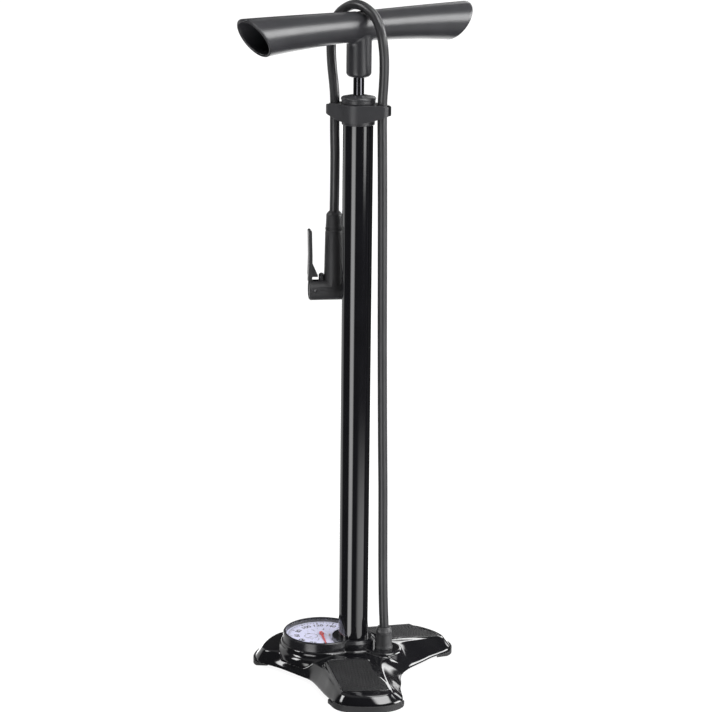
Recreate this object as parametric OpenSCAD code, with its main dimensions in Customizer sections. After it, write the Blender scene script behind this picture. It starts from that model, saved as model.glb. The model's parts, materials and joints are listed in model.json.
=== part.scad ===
// Floor bike pump: tripod base with a built-in gauge, a long barrel, a T-handle with
// hollow ends, and a hose that is stored over the handle and held in a two-hook collar.
// Frame: +Z up, origin on the barrel's axis at the floor. The gauge leg points to -Y and
// the hose port is on +Y.

/* [Barrel] */
// Outside diameter of the barrel tube
barrel_d = 32; // [31.8:0.1:32.2]
// Wall thickness of the barrel tube
barrel_wall = 1.6; // [1.5:0.1:1.8]
// Height of the barrel's top edge above the floor
barrel_top = 604; // [603:0.5:605]

/* [Plunger] */
// Diameter of the plunger rod
rod_d = 11.5; // [11.3:0.1:11.6]
// Wall thickness of the rod tube
rod_wall = 1.25; // [1.1:0.05:1.5]
// Radial running gap between the rod and its bush
rod_gap = 0.05; // [0.03:0.01:0.08]

/* [Handle] */
// Height of the handle's axis above the floor, plunger down
handle_z = 696.5; // [696:0.5:697.5]
// Half length of the handle along its top edge
handle_half = 157; // [154:1:158]
// Radius of the handle at its waist
handle_waist_r = 15.3; // [15.2:0.1:15.5]
// Radius of the handle at its open ends
handle_end_r = 19.5; // [19:0.1:19.8]
// Turn of the handle about the barrel, from +X
handle_turn = 154; // [153:0.5:155]

/* [Gauge] */
// Distance from the barrel's axis to the gauge needle's axis
gauge_y = 36.5; // [36.4:0.1:36.8]
// Outside radius of the gauge bezel
bezel_r = 42; // [41.8:0.1:42.4]
// Inside radius of the gauge bezel
bezel_bore_r = 39.3; // [39.1:0.1:39.5]
// Height of the bezel's top edge
bezel_top = 39.5; // [39.3:0.1:40]
// Outside radius of the collar round the barrel's foot
boss_r = 22.8; // [22.6:0.1:23]

/* [Hose] */
// Outside diameter of the hose
hose_d = 10; // [9.9:0.1:10]
// Distance from the barrel's axis to the hose port
port_y = 35.2; // [35:0.1:35.4]
// Distance from the barrel's axis to each hook's hose
hook_y = 26; // [25.9:0.1:26.1]

/* [Pump head] */
// Height of the chuck's axis above the floor
chuck_z = 418; // [417:0.5:419]
// Radius of the hole in the rubber seal that grips the valve
valve_r = 4; // [3.95:0.01:4.05]

/* [Hidden] */
$fn = 48;
eps = 0.01;
floor_gap = 4;
barrel_r = barrel_d / 2;
bore_r = barrel_r - barrel_wall;
rod_r = rod_d / 2;
barrel_foot = 24;
plateau_z = 27;
hose_r = hose_d / 2;

// ---- general helpers ----

// One point of a smooth curve through p1 and p2, u from 0 to 1
function curve_point(p0, p1, p2, p3, u) =
    0.5 * (2 * p1 + (p2 - p0) * u + (2 * p0 - 5 * p1 + 4 * p2 - p3) * u * u
    + (3 * p1 - p0 - 3 * p2 + p3) * u * u * u);

// A closed smooth curve through all points, n steps between neighbours
function closed_curve(pts, n) = [for (i = [0 : len(pts) - 1]) for (k = [0 : n - 1])
    let (m = len(pts))
    curve_point(pts[(i + m - 1) % m], pts[i], pts[(i + 1) % m], pts[(i + 2) % m], k / n)];

// Closed mesh from rings of equal length, joined in order and capped at both ends
module rings_solid(rings) {
    n = len(rings[0]);
    last = len(rings) - 1;
    points = [for (ring = rings) for (p = ring) p];
    sides = [for (j = [0 : last - 1]) for (i = [0 : n - 1]) for (half = [0, 1])
        let (a = j * n + i, b = j * n + (i + 1) % n)
        half == 0 ? [a, b, a + n] : [b, b + n, a + n]];
    bottom = [[for (i = [n - 1 : -1 : 0]) i]];
    top = [[for (i = [0 : n - 1]) last * n + i]];
    polyhedron(points, concat(sides, bottom, top), convexity = 10);
}

module tube(r_out, r_in, z0, z1) {
    translate([0, 0, z0]) difference() {
        cylinder(r = r_out, h = z1 - z0);
        translate([0, 0, -1]) cylinder(r = r_in, h = z1 - z0 + 2);
    }
}

module rod_between(r, z0, z1) {
    translate([0, 0, z0]) cylinder(r = r, h = z1 - z0);
}

module at_gauge() {
    translate([0, -gauge_y, 0]) children();
}

module at_port() {
    translate([0, port_y, 0]) children();
}

// ---- tripod base ----

// Half outlines of the base as [angle, radius, height]: the rim at the bottom and the edge
// of the top face, from the hose-port notch on +Y round a leg to the gauge leg on -Y
rim_half = [[90, 60], [80, 62], [72, 67], [63, 77], [56, 88], [51.5, 101], [49, 110], [46, 117.5],
    [41, 122.5], [35, 124.5], [28, 123.5], [20, 121.5], [14.5, 118.5], [10.5, 112.5], [7.5, 104.5],
    [2.5, 94], [-2, 86], [-8, 77.5], [-15, 70.5], [-26, 65], [-38, 66.5], [-50, 71.5], [-60, 79.5],
    [-66, 88.5], [-70, 97.5], [-73.5, 104], [-77.5, 108], [-83, 109.5], [-90, 110]];
top_half = [[90, 50, 25], [76, 50, 25], [63, 51, 25], [54, 56, 24.6], [48, 67, 23.2],
    [45, 80, 21.2], [43.5, 93, 19.3], [42.5, 105, 17.8], [41, 113.5, 16.8], [37, 117.5, 16.4],
    [29, 118.5, 16.3], [20, 117, 16.3], [15.5, 114.5, 16.3], [12, 107.5, 16.6], [7.5, 95.5, 17.2],
    [3.5, 86, 17.8], [-1, 76, 18.4], [-7, 67, 19.2], [-14, 60.5, 19.8], [-25, 56, 20.3],
    [-38, 54.5, 20.5], [-51, 60, 20.3], [-61, 69, 20.2], [-66, 80, 20.1], [-69.5, 91, 20],
    [-72.5, 97.5, 19.8], [-77, 100, 19.7], [-84, 100.5, 19.7], [-90, 100.5, 19.7]];
base_steps = 2;

function polar(a, r, z) = [r * cos(a), r * sin(a), z];

function mirrored(half) = concat(half, [for (i = [len(half) - 2 : -1 : 1])
    [180 - half[i][0], half[i][1], half[i][2]]]);

// Clockwise from above, as the mesh needs it
function outline(half, inset, drop) = closed_curve([for (p = mirrored(half))
    polar(p[0], p[1] - inset, (is_undef(p[2]) ? 0 : p[2]) - drop)], base_steps);

function at_height(ring, z) = [for (p = ring) [p[0], p[1], z]];

function between(a, b, u, lift) = [for (i = [0 : len(a) - 1])
    a[i] * (1 - u) + b[i] * u + [0, 0, lift]];

// Inner ring of the top face, on which the gauge and barrel bosses stand
function core_ring(ring, r, z) = [for (p = ring) let (d = norm([p[0], p[1]]))
    [p[0] * r / d, p[1] * r / d, z]];

module leg_shell(inset, drop, foot_z) {
    rim = outline(rim_half, inset, 0);
    edge = outline(top_half, inset, drop);
    face = outline(top_half, inset + 3, drop - 0.5);
    low = at_height(rim, foot_z + 3);
    rings_solid([at_height(rim, foot_z), low, between(low, edge, 0.45, 0.4),
        between(low, edge, 0.88, 0.4), face, core_ring(face, 36 - inset, plateau_z + 0.5 - drop)]);
}

module base_outer() {
    leg_shell(0, 0, floor_gap);
    at_gauge() {
        rod_between(44.5, plateau_z - 14, 28.5);
        translate([0, 0, 28.5]) cylinder(r1 = 44.5, r2 = 43.3, h = 1.2);
    }
    rod_between(24.5, plateau_z - 4, 29.7);
    at_port() {
        rod_between(20.2, plateau_z - 12, 28.2);
        translate([0, 0, 28.2]) cylinder(r1 = 20.2, r2 = 18.4, h = 1.8);
    }
    for (side = [-1, 1]) step_pad_place(side) pad_platform();
}

wall = 3;
cover_screw_r = 48;
// Angle of each cover screw and the height of the top of its post
cover_screw_at = [[60, 24.2], [120, 24.2], [-25, 20.3], [205, 20.3]];

module screw_post(a) {
    rotate([0, 0, a]) translate([cover_screw_r, 0, 0]) children();
}

module base_casting() color([0.03, 0.03, 0.035]) difference() {
    union() {
        difference() {
            base_outer();
            leg_shell(wall, wall, floor_gap - 2);
            at_gauge() rod_between(38.6, floor_gap - 1, 40);
        }
        rod_between(19.6, 10, 29.7);
        at_port() rod_between(10, 10, 28);
        for (at = cover_screw_at) screw_post(at[0]) rod_between(4, 6.2, at[1]);
    }
    rod_between(barrel_r + 0.05, barrel_foot, 32);
    rod_between(12.05, 8, barrel_foot + 1);
    rod_between(boss_r + 0.45, 29.7, 32);
    at_port() rod_between(6.02, 8, 32);
    translate([0, 0, pipe_z]) rotate([90, 0, 0]) cylinder(r = 2.02, h = 2 * port_y, center = true);
    for (at = cover_screw_at) screw_post(at[0]) rod_between(1.5, 5, 16);
    for (side = [-1, 1]) step_pad_place(side) pad_solid(0.1, 1, 3);
}

// Anti-slip pad: a tapering plate let into a raised platform on a leg, waisted on the port's
// side. Its outline is along and across the leg, from the leg's own axis
pad_angle = 26;
pad_outline = [[107.5, -21.5], [107.5, 23.5], [105, 26], [93, 24], [84, 20.5], [75, 16.5],
    [62, 13.5], [50, 12.5], [45, 11.5], [42, 5], [41, -10], [42, -27], [45, -32]];
pad_slope = atan(0.137);
pad_at = [72, 0, 22.9];

module pad_solid(grow, below, above) {
    rotate([0, pad_slope, 0]) translate([0, 0, -below]) linear_extrude(below + above)
        offset(delta = grow) polygon([for (p = pad_outline) [p[0] - pad_at[0], p[1]]]);
}

// The pad's outline swelled about its middle, clockwise from above
function pad_ring(swell, z) = [for (i = [len(pad_outline) - 1 : -1 : 0])
    [(pad_outline[i][0] - 73) * swell + 73 - pad_at[0], (pad_outline[i][1] + 3) * swell - 3, z]];

module pad_platform() {
    rotate([0, pad_slope, 0]) rings_solid([pad_ring(1.2, -8), pad_ring(1.1, -1.4), pad_ring(1.06, 0)]);
}

module step_pad_place(side) {
    mirror([side > 0 ? 0 : 1, 0, 0]) rotate([0, 0, pad_angle]) translate(pad_at) children();
}

module step_pad_right() color([0.14, 0.14, 0.15]) step_pad_place(1) pad_solid(0, 1, 0.6);

module step_pad_left() color([0.14, 0.14, 0.15]) step_pad_place(-1) pad_solid(0, 1, 0.6);

// Rubber foot: a strip under a leg's tip, with a lip round the outside of the rim
function arc_of(a0, a1, grow) = [for (p = outline(rim_half, 0, 0))
    let (a = atan2(p[1], p[0]), b = a > 200 ? a - 360 : a, r = norm([p[0], p[1]]) + grow)
    if (b >= a0 && b <= a1) [r * cos(b), r * sin(b)]];

function reversed(list) = [for (i = [len(list) - 1 : -1 : 0]) list[i]];

module foot_strip(a0, a1, grow, cut, z0, z1) {
    translate([0, 0, z0]) linear_extrude(z1 - z0)
        polygon(concat(arc_of(a0, a1, grow), reversed(arc_of(a0, a1, -cut))));
}

module rubber_foot(a0, a1) {
    foot_strip(a0, a1, 2, 11, 0, floor_gap);
    foot_strip(a0 + 3, a1 - 3, 2, -0.15, floor_gap - eps, floor_gap + 2.8);
}

module foot_right() color([0.09, 0.09, 0.1]) rubber_foot(5, 49);

module foot_left() color([0.09, 0.09, 0.1]) mirror([1, 0, 0]) rubber_foot(5, 49);

module foot_gauge_side() color([0.09, 0.09, 0.1]) rubber_foot(-108, -72);

module bottom_cover() color([0.1, 0.1, 0.11]) difference() {
    union() {
        translate([0, 0, 4.2]) linear_extrude(1.8) intersection() {
            polygon([for (p = outline(rim_half, 5.2, 0)) [p[0], p[1]]]);
            circle(r = 82, $fn = 96);
        }
        at_gauge() tube(37, 34, 5.9, 8.4);
    }
    for (at = cover_screw_at) screw_post(at[0]) rod_between(1.9, 3, 7);
}

module cover_screws() color([0.6, 0.6, 0.62]) for (at = cover_screw_at) screw_post(at[0]) {
    rod_between(1.45, 4.2, 13);
    difference() {
        rod_between(3.1, 2.2, 4.2);
        rod_between(1.2, 1, 3.3);
    }
}

// ---- gauge ----

module dial_outline(r, bite) difference() {
    circle(r = r, $fn = 96);
    translate([0, gauge_y]) circle(r = boss_r + bite, $fn = 72);
}

module gauge_bezel() color([0.04, 0.04, 0.045]) difference() {
    union() {
        at_gauge() {
            rod_between(bezel_r + 0.6, 29.7, 31.5);
            translate([0, 0, 31.5])
                cylinder(r1 = bezel_r + 0.6, r2 = bezel_r, h = bezel_top - 32.5, $fn = 96);
            translate([0, 0, bezel_top - 1]) cylinder(r1 = bezel_r, r2 = bezel_r - 1, h = 1, $fn = 96);
        }
        rod_between(boss_r + 0.4, 29.7, 36);
        translate([0, 0, 36]) cylinder(r1 = boss_r + 0.4, r2 = boss_r - 2.4, h = 3, $fn = 72);
    }
    difference() {
        at_gauge() {
            rod_between(bezel_bore_r, 34, 41);
            rod_between(bezel_bore_r - 1.2, 29, 35);
        }
        rod_between(boss_r, 28, 41);
    }
    rod_between(barrel_r + 0.02, 29, 41);
}

module gauge_lens() color([0.85, 0.9, 0.95, 0.3])
    at_gauge() translate([0, 0, 36.6]) linear_extrude(1.4) dial_outline(bezel_bore_r - 0.02, 0.05);

module gauge_dial() color([0.87, 0.86, 0.95]) at_gauge() difference() {
    translate([0, 0, 34]) linear_extrude(0.6) dial_outline(bezel_bore_r - 0.1, 0.15);
    rod_between(1.6, 33, 36);
    translate([0, pin_reach, 0]) rod_between(0.8, 33, 36);
}

case_floor = 9;
case_r = 37.4;
socket_y = 12;
pipe_z = 17;

module gauge_case() color([0.2, 0.2, 0.22]) at_gauge() difference() {
    translate([0, 0, case_floor]) linear_extrude(33.9 - case_floor) dial_outline(case_r, 0.2);
    translate([0, 0, case_floor + 1.4]) linear_extrude(30) dial_outline(case_r - 1.4, 1.6);
    translate([0, socket_y, pipe_z]) rotate([90, 0, 0]) cylinder(r = 2.05, h = 9, center = true);
}

tube_arc_r = 9.4;

// Brass block at the foot of the Bourdon tube; air comes in through the pipe from the valve
module gauge_socket() color([0.72, 0.58, 0.3]) at_gauge() difference() {
    translate([-4.3, socket_y - 5.5, case_floor + 1.4]) cube([8.6, 5.5, 12.6]);
    translate([0, socket_y - 1, pipe_z]) rotate([90, 0, 0]) cylinder(r = 1.1, h = 6, center = true);
}

tube_start = 74;
tube_sweep = -278;

module bourdon_tube() color([0.76, 0.6, 0.32]) at_gauge() difference() {
    translate([0, 0, case_floor + 4]) rotate([0, 0, tube_start]) rotate_extrude(angle = tube_sweep)
        translate([tube_arc_r, 0]) square([1.8, 6]);
    translate([0, 0, case_floor + 4.5]) rotate([0, 0, tube_start + 1]) rotate_extrude(angle = tube_sweep + 4)
        translate([tube_arc_r + 0.4, 0]) square([1, 5]);
}

gear_module = 0.6;
pinion_teeth = 10;
sector_teeth = 50;
pinion_pitch = gear_module * pinion_teeth / 2;
sector_pitch = gear_module * sector_teeth / 2;
gear_z = 27.6;
gear_h = 1.4;
sector_pivot = [0, -(pinion_pitch + sector_pitch), 0];
post_places = [[-20, 8], [20, 8], [0, -27]];

module movement_plate() color([0.74, 0.6, 0.33]) at_gauge() difference() {
    translate([0, 0, 30.2]) linear_extrude(1.2) hull() {
        for (p = post_places) translate(p) circle(r = 3.4);
    }
    rod_between(1.05, 29, 33);
    translate([sector_pivot[0], sector_pivot[1], 0]) rod_between(1.0, 29, 33);
    for (p = post_places) translate([p[0], p[1], 0]) rod_between(1.0, 29, 33);
}

module movement_posts() color([0.7, 0.7, 0.72]) at_gauge() {
    for (p = post_places) translate([p[0], p[1], 0]) {
        rod_between(1.9, case_floor + 1.4, 30.2);
        rod_between(0.98, 30.1, 32.2);
    }
    translate([sector_pivot[0], sector_pivot[1], 0]) {
        rod_between(1.9, case_floor + 1.4, gear_z - 0.4);
        rod_between(0.95, gear_z - 0.5, 31.4);
    }
    rod_between(1.9, case_floor + 1.4, 18);
}

// Straight-sided gear tooth that stands on a root circle of radius r
module gear_tooth(r, tip, base_w, tip_w) {
    polygon([[r - 0.3, -base_w / 2], [r, -base_w / 2], [tip, -tip_w / 2],
        [tip, tip_w / 2], [r, base_w / 2], [r - 0.3, base_w / 2]]);
}

module pinion_spindle() color([0.72, 0.72, 0.74]) at_gauge() {
    rod_between(1.0, 18.3, 36.3);
    translate([0, 0, gear_z]) linear_extrude(gear_h) {
        circle(r = pinion_pitch - 0.75);
        for (i = [0 : pinion_teeth - 1]) rotate([0, 0, 360 / pinion_teeth * i - 90])
            gear_tooth(pinion_pitch - 0.75, pinion_pitch + 0.4, 0.95, 0.4);
    }
}

sector_sweep = 78;
sector_rest = -3.5 * 360 / sector_teeth;

module sector_gear() color([0.75, 0.6, 0.33]) at_gauge() translate(sector_pivot)
    rotate([0, 0, sector_rest]) difference() {
    union() {
        translate([0, 0, gear_z]) rotate([0, 0, 90 - sector_sweep / 2])
            rotate_extrude(angle = sector_sweep, $fn = 96)
            translate([sector_pitch - 3.4, 0]) square([2.8, gear_h]);
        translate([-2.2, 0, gear_z]) cube([4.4, sector_pitch - 3, gear_h]);
        rod_between(3.2, gear_z, gear_z + gear_h);
        translate([0, 0, gear_z]) linear_extrude(gear_h) for (i = [-5 : 5])
            rotate([0, 0, 90 + 360 / sector_teeth * i])
            gear_tooth(sector_pitch - 0.6, sector_pitch + 0.4, 0.95, 0.4);
    }
    rod_between(1.0, gear_z - 1, gear_z + gear_h + 1);
}

needle_angle = 30;
needle_reach = 31;
pin_reach = 9;

module needle() color([0.86, 0.16, 0.14]) at_gauge() {
    translate([0, 0, 35.1]) difference() {
        union() {
            cylinder(r = 2.6, h = 0.9);
            rotate([0, 0, needle_angle]) linear_extrude(0.5)
                polygon([[-7, -1.5], [-7, 1.5], [0, 1.7], [needle_reach, 0.35],
                    [needle_reach, -0.35], [0, -1.7]]);
        }
        translate([0, 0, -1]) cylinder(r = 1.02, h = 3);
    }
}

module needle_stop_pin() color([0.8, 0.68, 0.42]) at_gauge()
    translate([0, pin_reach, 0]) {
        rod_between(0.75, 31.4, 36.1);
    }

// ---- air path under the barrel ----

// Solid foot plug of the barrel with the check valve's chamber and the cross channel
chamber_r = 5;
seat_z = 37;
block_top = 42;

module valve_block() color([0.75, 0.76, 0.78]) difference() {
    union() {
        rod_between(11.98, 11, barrel_foot + 1);
        rod_between(bore_r - 0.02, barrel_foot, block_top);
    }
    translate([0, 0, 33]) rotate_extrude() translate([bore_r - 2.2, 0]) square([4, 3]);
    rod_between(2.5, seat_z - 1, block_top + 1);
    rod_between(chamber_r, 10, seat_z);
    translate([0, 0, pipe_z]) rotate([90, 0, 0]) cylinder(r = 2.02, h = 30, center = true);
}

module barrel_seal_ring() color([0.12, 0.12, 0.13]) translate([0, 0, 34.5])
    rotate_extrude() translate([bore_r - 1.12, 0]) circle(r = 1.06);

module check_valve_poppet() color([0.2, 0.2, 0.22]) {
    rod_between(4.2, seat_z - 2.1, seat_z - 0.02);
    rod_between(1.8, seat_z - 8, seat_z - 2);
}

spring_turns = 6;
plug_top = 14;

module check_valve_spring() color([0.8, 0.8, 0.82]) {
    n = 14 * spring_turns;
    z0 = plug_top + 0.45;
    z1 = seat_z - 2.1 - 0.45;
    path = [for (i = [0 : n]) [3 * cos(360 * i / 14), 3 * sin(360 * i / 14), z0 + (z1 - z0) * i / n]];
    sweep_tube(path, 0.35, 6);
}

module check_valve_plug() color([0.72, 0.58, 0.3]) difference() {
    rod_between(chamber_r - 0.01, 10.2, plug_top);
    translate([0, 0, 9.2]) cylinder(r = 2, h = 3, $fn = 6);
}

// Pipe pieces between the block, the port and the gauge
module air_pipe() color([0.72, 0.58, 0.3]) translate([0, 0, pipe_z]) rotate([90, 0, 0]) {
    for (reach = [[-(port_y - 6.1), -12.2], [12.2, gauge_y - socket_y - 0.1]])
        translate([0, 0, reach[0]]) difference() {
            cylinder(r = 2, h = reach[1] - reach[0]);
            translate([0, 0, -1]) cylinder(r = 1.1, h = reach[1] - reach[0] + 2);
        }
}

// ---- barrel, cap and collar ----

module barrel() color([0.02, 0.02, 0.025]) tube(barrel_r, bore_r, barrel_foot + 0.02, barrel_top);

cap_r = 17.2;
cap_base = 596;

module barrel_cap() color([0.16, 0.16, 0.17]) difference() {
    rotate_extrude($fn = 96) polygon([[7.2, cap_base], [cap_r - 0.7, cap_base],
        [cap_r, cap_base + 0.8], [cap_r, 617.5], [17.5, 618.2], [17.6, 621.6], [18.1, 622.2],
        [18.1, 623.6], [17.2, 624.8], [9.5, 626.4], [7.2, 626.4]]);
    rod_between(barrel_r + 0.02, cap_base - 1, barrel_top + 0.02);
    rod_between(8.7, barrel_top - 1, 621);
}

// Side view of the collar's lens shape: deep at the barrel, shallow at the hooks
module collar_side() polygon([[-35.2, 608], [-33.6, 606.3], [-27, 603.9], [-20.5, 601.7],
    [-14, 600.2], [-7, 599.4], [7, 599.4], [14, 600.2], [20.5, 601.7], [27, 603.9], [33.6, 606.3],
    [35.2, 608], [35.2, 614], [33.6, 616], [27, 617.2], [14, 617.5], [-14, 617.5], [-27, 617.2],
    [-33.6, 616], [-35.2, 614]]);

hook_r = 9.2;

// One hook, on +Y: an arm tapering to a round end, with a snap-in slot that opens outwards
module hook_plan() difference() {
    hull() {
        circle(r = 20.3);
        translate([0, hook_y]) circle(r = hook_r);
    }
    translate([0, hook_y]) {
        circle(r = hose_r + 0.12);
        translate([-4.2, 0]) square([8.4, 20]);
    }
}

module hose_clip_collar() color([0.2, 0.2, 0.21]) difference() {
    intersection() {
        translate([0, 0, 596]) linear_extrude(24) for (turn = [0, 180]) rotate([0, 0, turn]) hook_plan();
        translate([-40, 0, 0]) rotate([90, 0, 90]) linear_extrude(80) collar_side();
    }
    rod_between(cap_r + 0.02, 590, 630);
}

module rod_bush() color([0.85, 0.85, 0.83]) {
    tube(8.68, rod_r + rod_gap, barrel_top - 1, 618);
    tube(bore_r - 0.1, rod_r + rod_gap, 588, barrel_top);
}

module rod_wiper() color([0.08, 0.08, 0.09]) difference() {
    rod_between(8.68, 618.05, 620.95);
    rod_between(rod_r + 0.03, 617, 622);
}

// ---- hose, its fittings and route ----

barb_top = 47;

module hose_barb() color([0.75, 0.6, 0.33]) at_port() difference() {
    union() {
        rod_between(6, 11, 30);
        rod_between(3.2, 29, barb_top);
        for (z = [34, 38, 42]) translate([0, 0, z]) cylinder(r1 = 3.6, r2 = 3.2, h = 2);
    }
    rod_between(1.6, 15, barb_top + 1);
    translate([0, -8, pipe_z]) rotate([90, 0, 0]) cylinder(r = 1.2, h = 18, center = true);
}

boot_top = 54;

// Rubber strain-relief boot over the hose's lower end
module hose_boot() color([0.13, 0.13, 0.14]) at_port() difference() {
    union() {
        rotate_extrude() polygon([[0, 30.05], [9.6, 30.05], [9.6, 31.5], [8.9, 33.5], [8.2, 46],
            [8.9, 46.6], [8.9, 49.4], [8.3, 50.2], [6.6, boot_top], [0, boot_top]]);
        for (a = [20, 140, 260]) rotate([0, 0, a]) translate([0, -0.9, 32]) cube([9.4, 1.8, 14.6]);
    }
    rod_between(hose_r + 0.1, 29, boot_top + 1);
}

// Plan place of the pump head and the turn of its chuck: the mouth points past the barrel
head_x = -11.5;
head_y = -30;
head_turn = 118;
head_hose_z = 487;

// Route of the hose's middle line, from the port to the pump head
hose_route = [[0, port_y, 31], [0, port_y, 44], [0, port_y, 57], [0, 34.4, 74], [0, 33.6, 97],
    [0, 33, 125], [0, 32.5, 163], [0, 32, 205], [0, 31.3, 240], [0, 30.7, 270], [0, 30, 310],
    [0, 29.3, 355], [0, 28.7, 400], [0, 28.2, 445], [0, 27.7, 490], [0, 27.1, 535], [0, 26.4, 575],
    [0, hook_y, 597], [0, hook_y, 620], [2, 27.6, 637], [5, 29.2, 653], [8.2, 30, 668],
    [10.8, 29.4, 682], [11.2, 26.8, 695], [8.7, 19.8, 707.5], [4.6, 9, 715.3], [0, -2.5, 718.2],
    [-4.6, -14.2, 715.4], [-9, -26, 707], [-11.6, -32.6, 694], [-11.3, -34.6, 681],
    [-8.9, -33.6, 666], [-5.4, -31.1, 651], [-2.4, -28, 635], [0, -hook_y, 620],
    [0, -hook_y, 598], [-1.2, -26.3, 583], [-4.5, -27.1, 565], [-7.8, -28.3, 543],
    [-10.7, -29.5, 522], [-11.5, -30, 503], [-11.5, -30, head_hose_z]];

// Ring of n points round path point i, square to the path there
function path_dir(path, i) = let (a = path[max(i - 1, 0)], b = path[min(i + 1, len(path) - 1)])
    (b - a) / norm(b - a);

function path_ring(path, i, r, n) = let (d = path_dir(path, i), side = cross(d, [1, 0.02, 0.01]),
    u = side / norm(side), v = cross(u, d))
    [for (k = [0 : n - 1]) path[i] + r * (cos(360 * k / n) * u + sin(360 * k / n) * v)];

module sweep_tube(path, r, n) {
    rings_solid([for (i = [0 : len(path) - 1]) path_ring(path, i, r, n)]);
}

// The corners of each ring stand on the true radius
module hose() color([0.12, 0.12, 0.13]) difference() {
    sweep_tube(hose_route, hose_r, 12);
    at_port() rod_between(3.62, 30, barb_top + 0.2);
    translate([head_x, head_y, head_hose_z - 1]) cylinder(r = 3.62, h = 15.2);
}

// ---- pump head ----

module at_head() {
    translate([head_x, head_y, chuck_z]) rotate([0, 0, head_turn]) children();
}

// Along the chuck's axis: +X of the head points out of the mouth
module along_chuck(x0, x1, r) {
    translate([x0, 0, 0]) rotate([0, 90, 0]) cylinder(r = r, h = x1 - x0);
}

chuck_r = 11;
chuck_back = -26.5;
chuck_front = 7.5;
grip_top = 66;

module head_tail() color([0.74, 0.6, 0.33]) at_head() difference() {
    union() {
        rod_between(3.2, grip_top + 3, head_hose_z - chuck_z + 14);
        rod_between(6, grip_top - 8, grip_top + 3);
        for (z = [72, 76]) translate([0, 0, z]) cylinder(r1 = 3.2, r2 = 3.6, h = 2);
    }
    rod_between(1.6, grip_top - 9, 90);
}

module head_nut() color([0.12, 0.12, 0.13]) at_head() difference() {
    rotate_extrude() polygon([[0, grip_top], [8.9, grip_top], [8.9, grip_top + 3], [8.7, grip_top + 4],
        [8.4, grip_top + 14], [7.9, grip_top + 15.2], [5.6, grip_top + 18], [0, grip_top + 18]]);
    rod_between(6.1, grip_top - 1, grip_top + 3);
    rod_between(hose_r + 0.1, grip_top + 1, grip_top + 19);
}

lever_x = -20.5;
lever_z = 1;
slot_w = 8.4;
slot_wall_x = -16.2;
slot_foot = -7;
slot_h = 33;
dome_x = -13.2;
dome_z = 15.4;
dome_r = 2.9;
air_x = -3.4;

module head_body() color([0.11, 0.11, 0.12]) at_head() difference() {
    union() {
        rotate_extrude() polygon([[0, 0], [10.4, 0], [10.4, 14], [10.2, 22], [9.4, grip_top - 4],
            [9, grip_top - 3], [9, grip_top - 2], [9.4, grip_top - 1.5], [9.4, grip_top], [0, grip_top]]);
        along_chuck(chuck_back + 1.5, chuck_front, chuck_r);
        translate([chuck_back, 0, 0]) rotate([0, 90, 0])
            cylinder(r1 = chuck_r - 1.5, r2 = chuck_r, h = 1.5);
        translate([dome_x, 0, 8]) cylinder(r = dome_r, h = dome_z - 8);
        translate([dome_x, 0, dome_z]) sphere(r = dome_r);
    }
    translate([chuck_front, -chuck_r - 1, -chuck_r - 1]) cube([8, 2 * chuck_r + 2, 2 * chuck_r + 1.5]);
    along_chuck(-4, chuck_front + 1, 7.02);
    along_chuck(-17, -3, 6);
    rod_between(2.5, 12, grip_top - 9);
    translate([air_x, 0, 0]) rod_between(1.3, 0, 20);
    rod_between(6.02, grip_top - 10, grip_top + 1);
    translate([chuck_back - 1, -slot_w / 2, slot_foot])
        cube([slot_wall_x - chuck_back + 1, slot_w, slot_h]);
    translate([lever_x, 0, lever_z]) rotate([90, 0, 0]) cylinder(r = 1.51, h = 30, center = true);
}

module head_grommet() color([0.07, 0.07, 0.075]) at_head() difference() {
    along_chuck(-2.2, chuck_front, 7);
    along_chuck(-3, chuck_front + 1, valve_r);
}

module head_front_cap() color([0.14, 0.14, 0.15]) at_head() difference() {
    union() {
        along_chuck(chuck_front + 0.05, chuck_front + 4, chuck_r - 0.4);
        translate([chuck_front + 4, 0, 0]) rotate([0, 90, 0])
            cylinder(r1 = chuck_r - 0.4, r2 = chuck_r - 2, h = 1.5);
    }
    along_chuck(chuck_front - 1, chuck_front + 7, valve_r + 0.4);
    for (i = [0 : 11]) rotate([30 * i, 0, 0]) translate([chuck_front + 1, 0, chuck_r])
        rotate([0, 90, 0]) cylinder(r = 0.9, h = 8);
}

module head_plunger() color([0.8, 0.8, 0.78]) at_head() difference() {
    along_chuck(-15.6, -5, 5.95);
    along_chuck(-8, -4, valve_r - 0.4);
}

// Cam lever: hub and lobe in the slot, a narrow neck, then the wide thumb blade
blade_top = 64.5;
blade_w = 13;
neck_x = -4.8;
neck_top = 15.6;

module lever() color([0.13, 0.13, 0.14]) at_head() translate([lever_x, 0, lever_z]) rotate([90, 0, 0])
    difference() {
        union() {
            linear_extrude(7.6, center = true) {
                circle(r = 4);
                hull() {
                    circle(r = 3.4);
                    translate([0, -5]) circle(r = 1.85);
                }
                hull() {
                    translate([0, 1.5]) circle(r = 2.4);
                    translate([neck_x, 9]) circle(r = 2.1);
                }
                hull() {
                    translate([neck_x, 9]) circle(r = 2.1);
                    translate([neck_x, neck_top]) circle(r = 2.1);
                }
                polygon([[neck_x, 13.4], [3.2, 13.4], [3.2, 15.2], [-2.9, 29], [neck_x, 29]]);
            }
            linear_extrude(blade_w, center = true) blade_side();
        }
        cylinder(r = 1.56, h = 20, center = true);
    }

// Side view of the blade: nearly straight, tip bent a little outwards
module blade_side() {
    hull() {
        translate([neck_x, neck_top]) circle(r = 2.1);
        translate([-4.6, 36]) circle(r = 1.8);
    }
    hull() {
        translate([-4.6, 36]) circle(r = 1.8);
        translate([-5.2, blade_top - lever_z - 1.7]) circle(r = 1.7);
    }
}

module lever_pin() color([0.75, 0.75, 0.77]) at_head() translate([lever_x, 9.6, lever_z])
    rotate([90, 0, 0]) cylinder(r = 1.5, h = 19.2);

// ---- plunger ----

piston_z = 43;
rod_foot = 45;

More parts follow.
